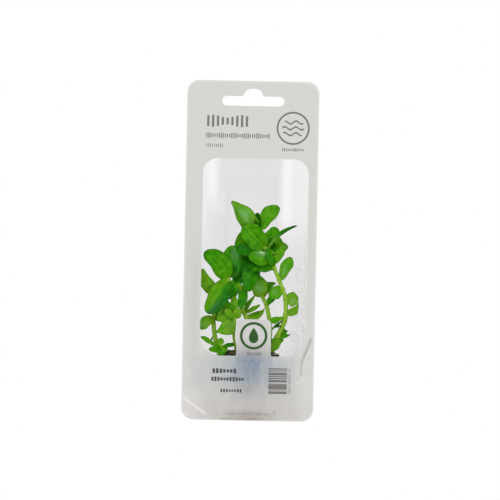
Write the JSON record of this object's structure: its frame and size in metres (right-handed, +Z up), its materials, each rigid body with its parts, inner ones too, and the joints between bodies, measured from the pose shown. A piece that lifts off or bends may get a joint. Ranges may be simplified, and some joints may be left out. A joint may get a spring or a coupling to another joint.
{
  "type": "potted aquatic plant in hanging pack",
  "caption": "Clear hanging shop pack with a printed front sheet and a window, holding a potted aquatic plant with green stems and oval fleshy leaves, rooted in wool in a net pot.",
  "frame": {"origin": "the point that hangs on a shop hook: the top of the hump in the hang slot, at the middle of the lid film's thickness", "axes": "+X to the right of someone who looks at the printed front, +Y away from them into the tray, +Z up as the pack hangs"},
  "size_m": [0.07, 0.0395, 0.18],
  "materials": {
    "clear_tray": "gloss",
    "clear_film": "gloss",
    "printed_sheet": "satin",
    "pot_plastic": "satin",
    "mineral_wool": "matte",
    "stem": "satin",
    "leaf": "satin",
    "young_leaf": "satin"
  },
  "bodies": {
    "root": {"tray": "clear_tray", "lid_film": "clear_film", "printed_sheet": "printed_sheet", "net_pot": "pot_plastic", "wool_plug": "mineral_wool", "stem_right": "stem", "stem_middle": "stem", "stem_tall": "stem", "stem_left": "stem", "stem_short": "stem", "stem_low": "stem", "leaf_crown_left": "leaf", "leaf_crown_right": "leaf", "leaf_crown_bud": "leaf", "leaf_crown_behind": "leaf", "leaf_tall_back": "leaf", "leaf_tall_drooping": "leaf", "leaf_tall_hanging": "leaf", "leaf_tall_needle": "leaf", "leaf_tall_blade": "leaf", "leaf_tall_lowest": "leaf", "leaf_right_top": "leaf", "leaf_right_top_back": "leaf", "leaf_right_needle": "leaf", "leaf_right_shaded": "leaf", "leaf_right_pointing": "leaf", "leaf_right_glossy": "leaf", "leaf_right_upright": "leaf", "leaf_right_level": "leaf", "leaf_right_speckled": "leaf", "leaf_right_inner": "leaf", "leaf_right_round": "leaf", "leaf_right_curved": "leaf", "leaf_right_low_inner": "leaf", "leaf_right_low_thin": "leaf", "leaf_right_foot_front": "leaf", "leaf_right_foot_outer": "leaf", "leaf_middle_pale": "leaf", "leaf_middle_arched": "leaf", "leaf_middle_narrow": "leaf", "leaf_middle_top_left": "leaf", "leaf_middle_top_right": "leaf", "leaf_left_large": "leaf", "leaf_left_behind": "leaf", "leaf_left_hanging": "leaf", "leaf_left_shaded": "leaf", "leaf_left_edge": "leaf", "leaf_left_low_outer": "leaf", "leaf_left_low_inner": "leaf", "leaf_short_upright": "young_leaf", "leaf_short_side": "young_leaf", "leaf_short_front_right": "young_leaf", "leaf_short_front_left": "young_leaf", "leaf_short_hanging": "young_leaf", "leaf_low_left": "leaf", "leaf_low_upright": "leaf", "leaf_low_right": "leaf", "leaf_low_outer": "leaf", "leaf_low_front": "leaf"}
  },
  "joints": []
}
